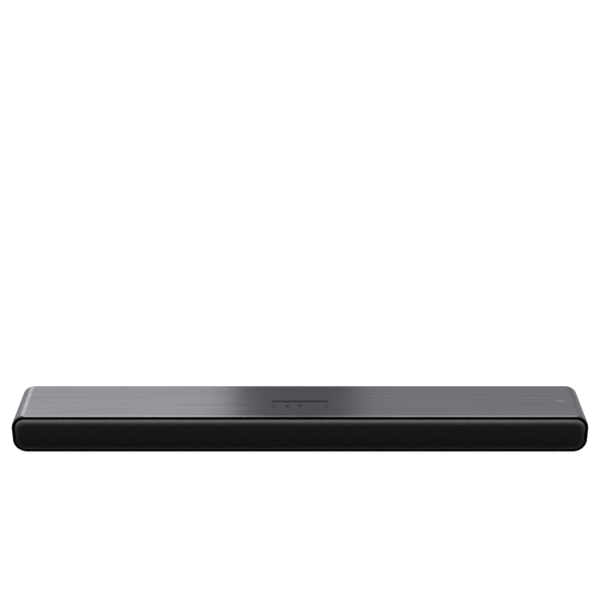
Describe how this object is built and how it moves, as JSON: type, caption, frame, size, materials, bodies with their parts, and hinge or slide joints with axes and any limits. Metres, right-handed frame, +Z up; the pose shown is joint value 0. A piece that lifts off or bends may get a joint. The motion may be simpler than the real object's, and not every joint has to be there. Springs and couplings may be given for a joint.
{
  "type": "soundbar",
  "caption": "Slim bar loudspeaker with a brushed metal cover, gloss front trim, curved mesh grille, a flush key strip on top and a rear connector bay.",
  "frame": {"origin": "middle of the bar's footprint, on the surface its feet stand on", "axes": "+X to the right along the bar seen from the front, -Y out of the grille, +Z up"},
  "size_m": [0.81, 0.0922, 0.0602],
  "materials": {
    "brushed_cover": "brushed along the bar, dark grey anodised",
    "base_plastic": "fine moulded texture",
    "gloss_trim": "high gloss",
    "grille_paint": "fine black mesh, satin paint",
    "key_plastic": "satin",
    "foot_rubber": "matt",
    "basket_steel": "zinc plated",
    "magnet_ferrite": "sintered",
    "cone_paper": "pressed paper",
    "coil_copper": "enamelled winding",
    "tweeter_plastic": "matt",
    "dome_silk": "coated cloth",
    "jack_plastic": "matt",
    "pin_brass": "plated",
    "screw_steel": "blackened",
    "board_green": "solder mask",
    "chip_black": "moulded",
    "sink_aluminium": "extruded",
    "core_steel": "varnished laminations",
    "can_aluminium": "sleeved",
    "lens_smoke": "smoked",
    "wire_sheath": "flexible sheath"
  },
  "bodies": {
    "housing": {"aux_jack": "jack_plastic", "baffle_screws": "screw_steel", "base_plate": "base_plastic", "board_chips": "chip_black", "board_screws": "screw_steel", "capacitors": "can_aluminium", "case_screws": "screw_steel", "display_board": "board_green", "display_lens": "lens_smoke", "front_baffle": "base_plastic", "front_trim": "gloss_trim", "grille_frame": "base_plastic", "grille_mesh": "grille_paint", "hdmi_jack": "basket_steel", "heat_sink": "sink_aluminium", "inlet_pins": "pin_brass", "jack_board": "board_green", "key_board": "board_green", "key_frame": "base_plastic", "key_pad": "foot_rubber", "keyhole_plates": "basket_steel", "left_basket": "basket_steel", "left_magnet": "magnet_ferrite", "left_speaker_box": "base_plastic", "left_spider": "cone_paper", "left_surround": "foot_rubber", "left_tweeter": "tweeter_plastic", "left_yoke": "basket_steel", "main_board": "board_green", "optical_jack": "jack_plastic", "power_board": "board_green", "power_inlet": "jack_plastic", "rear_panel": "base_plastic", "right_basket": "basket_steel", "right_magnet": "magnet_ferrite", "right_speaker_box": "base_plastic", "right_spider": "cone_paper", "right_surround": "foot_rubber", "right_tweeter": "tweeter_plastic", "right_yoke": "basket_steel", "rubber_feet": "foot_rubber", "speaker_wires": "wire_sheath", "tact_switches": "jack_plastic", "top_cover": "brushed_cover", "transformer": "core_steel", "usb_jack": "basket_steel"},
    "key_power": {"key_power": "key_plastic"},
    "key_source": {"key_source": "key_plastic"},
    "key_wireless": {"key_wireless": "key_plastic"},
    "key_volume_down": {"key_volume_down": "key_plastic"},
    "key_volume_up": {"key_volume_up": "key_plastic"},
    "left_diaphragm": {"left_cone": "cone_paper", "left_dust_cap": "cone_paper", "left_voice_coil": "coil_copper"},
    "left_dome": {"left_tweeter_dome": "dome_silk"},
    "right_diaphragm": {"right_cone": "cone_paper", "right_dust_cap": "cone_paper", "right_voice_coil": "coil_copper"},
    "right_dome": {"right_tweeter_dome": "dome_silk"},
    "optical_shutter": {"optical_shutter": "jack_plastic"}
  },
  "joints": [
    {"name": "press_power", "type": "slide", "parent": "housing", "child": "key_power", "axis": [0, 0, -1], "range_m": [0, 0.0006], "stiffness_N_per_m": 400, "springref_m": -0.0008, "deforming": ["key_pad"]},
    {"name": "press_source", "type": "slide", "parent": "housing", "child": "key_source", "axis": [0, 0, -1], "range_m": [0, 0.0006], "stiffness_N_per_m": 400, "springref_m": -0.0008, "deforming": ["key_pad"]},
    {"name": "press_wireless", "type": "slide", "parent": "housing", "child": "key_wireless", "axis": [0, 0, -1], "range_m": [0, 0.0006], "stiffness_N_per_m": 400, "springref_m": -0.0008, "deforming": ["key_pad"]},
    {"name": "press_volume_down", "type": "slide", "parent": "housing", "child": "key_volume_down", "axis": [0, 0, -1], "range_m": [0, 0.0006], "stiffness_N_per_m": 400, "springref_m": -0.0008, "deforming": ["key_pad"]},
    {"name": "press_volume_up", "type": "slide", "parent": "housing", "child": "key_volume_up", "axis": [0, 0, -1], "range_m": [0, 0.0006], "stiffness_N_per_m": 400, "springref_m": -0.0008, "deforming": ["key_pad"]},
    {"name": "left_cone_stroke", "type": "slide", "parent": "housing", "child": "left_diaphragm", "axis": [0, -1, 0], "range_m": [-0.0025, 0.0025], "stiffness_N_per_m": 1500, "deforming": ["left_surround", "left_spider"]},
    {"name": "left_dome_stroke", "type": "slide", "parent": "housing", "child": "left_dome", "axis": [0, -1, 0], "range_m": [-0.0002, 0.0002], "stiffness_N_per_m": 5000},
    {"name": "right_cone_stroke", "type": "slide", "parent": "housing", "child": "right_diaphragm", "axis": [0, -1, 0], "range_m": [-0.0025, 0.0025], "stiffness_N_per_m": 1500, "deforming": ["right_surround", "right_spider"]},
    {"name": "right_dome_stroke", "type": "slide", "parent": "housing", "child": "right_dome", "axis": [0, -1, 0], "range_m": [-0.0002, 0.0002], "stiffness_N_per_m": 5000},
    {"name": "shutter_hinge", "type": "hinge", "parent": "housing", "child": "optical_shutter", "pos_m": [-0.01, 0.0246, 0.0346], "axis": [-1, 0, 0], "range_deg": [0, 80], "stiffness_Nm_per_rad": 0.002, "springref_deg": -17.19}
  ]
}
